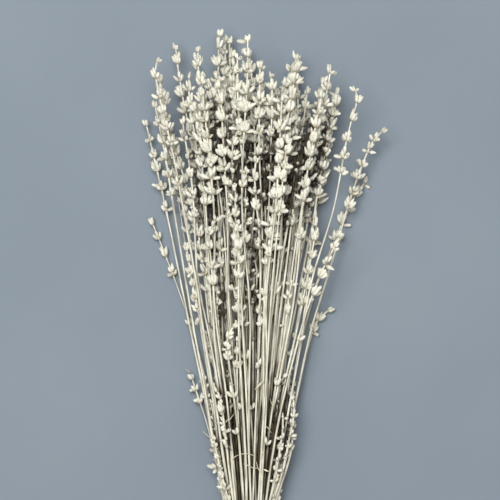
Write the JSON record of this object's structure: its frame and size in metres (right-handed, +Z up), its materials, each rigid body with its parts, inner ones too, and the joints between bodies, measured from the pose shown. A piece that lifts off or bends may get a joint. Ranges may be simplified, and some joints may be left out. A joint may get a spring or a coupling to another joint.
{
  "type": "bunch of dried lavender",
  "caption": "Loose fan of bleached, dried lavender sprigs lying flat, tied near the cut ends with a wound rubber band; long bare stems and spikes of small whorled calyces.",
  "frame": {"origin": "on the table, under the middle of the bunch's box", "axes": "+Y along the stems, from the cut ends to the flower heads; +Z up from the table; +X across the bunch"},
  "size_m": [0.2216, 0.549, 0.1108],
  "materials": {
    "bleached_lavender": "dry, matt, bleached flowers and stems, cream white with tan shadows and ribs",
    "rubber_band": "natural rubber, amber tan, satin with a fine grain"
  },
  "bodies": {
    "root": {"middle_sprig_01": "bleached_lavender", "tall_sprig_01": "bleached_lavender", "short_sprig_01": "bleached_lavender", "middle_sprig_02": "bleached_lavender", "tall_sprig_02": "bleached_lavender", "middle_sprig_03": "bleached_lavender", "tall_sprig_03": "bleached_lavender", "short_sprig_02": "bleached_lavender", "middle_sprig_04": "bleached_lavender", "tall_sprig_04": "bleached_lavender", "middle_sprig_05": "bleached_lavender", "tall_sprig_05": "bleached_lavender", "short_sprig_03": "bleached_lavender", "middle_sprig_06": "bleached_lavender", "tall_sprig_06": "bleached_lavender", "middle_sprig_07": "bleached_lavender", "tall_sprig_07": "bleached_lavender", "short_sprig_04": "bleached_lavender", "middle_sprig_08": "bleached_lavender", "tall_sprig_08": "bleached_lavender", "middle_sprig_09": "bleached_lavender", "tall_sprig_09": "bleached_lavender", "short_sprig_05": "bleached_lavender", "middle_sprig_10": "bleached_lavender", "tall_sprig_10": "bleached_lavender", "middle_sprig_11": "bleached_lavender", "tall_sprig_11": "bleached_lavender", "short_sprig_06": "bleached_lavender", "middle_sprig_12": "bleached_lavender", "tall_sprig_12": "bleached_lavender", "middle_sprig_13": "bleached_lavender", "tall_sprig_13": "bleached_lavender", "short_sprig_07": "bleached_lavender", "middle_sprig_14": "bleached_lavender", "tall_sprig_14": "bleached_lavender", "middle_sprig_15": "bleached_lavender", "tall_sprig_15": "bleached_lavender", "short_sprig_08": "bleached_lavender", "middle_sprig_16": "bleached_lavender", "tall_sprig_16": "bleached_lavender", "middle_sprig_17": "bleached_lavender", "tall_sprig_17": "bleached_lavender", "short_sprig_09": "bleached_lavender", "middle_sprig_18": "bleached_lavender", "tall_sprig_18": "bleached_lavender", "middle_sprig_19": "bleached_lavender", "tall_sprig_19": "bleached_lavender", "short_sprig_10": "bleached_lavender", "stray_sprig_01": "bleached_lavender", "stray_sprig_02": "bleached_lavender", "stray_sprig_03": "bleached_lavender", "stray_sprig_04": "bleached_lavender", "stray_sprig_05": "bleached_lavender", "stray_sprig_06": "bleached_lavender", "stray_sprig_07": "bleached_lavender", "stray_sprig_08": "bleached_lavender", "stray_sprig_09": "bleached_lavender", "stray_sprig_10": "bleached_lavender", "stray_sprig_11": "bleached_lavender", "rubber_band": "rubber_band"}
  },
  "joints": []
}
